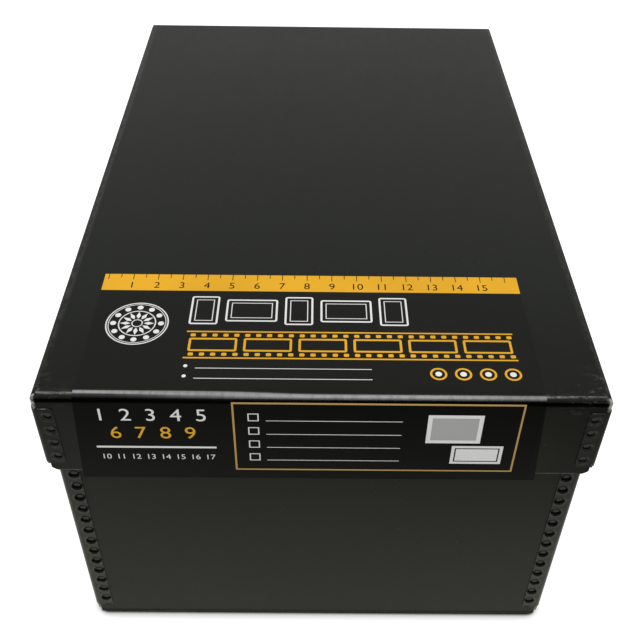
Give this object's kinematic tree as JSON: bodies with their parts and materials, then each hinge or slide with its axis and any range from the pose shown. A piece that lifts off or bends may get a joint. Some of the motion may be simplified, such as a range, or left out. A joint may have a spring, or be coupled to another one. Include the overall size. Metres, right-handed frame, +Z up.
{
  "type": "archival photo box",
  "caption": "Black board storage box with a lift-off lid, pierced black metal edges on its upright corners, and a paper label wrapped over the front edge of the lid.",
  "frame": {"origin": "middle of the underside of the tray", "axes": "+Z up, -Y the short side that carries the label, +X to the right seen from that side"},
  "size_m": [0.2064, 0.3136, 0.145],
  "materials": {
    "black_board": "satin black paper-covered board with a fine grain",
    "black_metal": "thin steel strip in satin black paint",
    "label_paper": "glossy coated black paper with a yellow bar, a gold frame and white ruled lines"
  },
  "bodies": {
    "tray": {"tray_board": "black_board", "tray_corner_front_left": "black_metal", "tray_corner_front_right": "black_metal", "tray_corner_rear_right": "black_metal", "tray_corner_rear_left": "black_metal"},
    "lid": {"lid_board": "black_board", "label": "label_paper", "lid_corner_front_left": "black_metal", "lid_corner_front_right": "black_metal", "lid_corner_rear_right": "black_metal", "lid_corner_rear_left": "black_metal"}
  },
  "joints": [
    {"name": "lid_lift", "type": "slide", "parent": "tray", "child": "lid", "axis": [0, 0, 1], "range_m": [0, 0.08]}
  ]
}
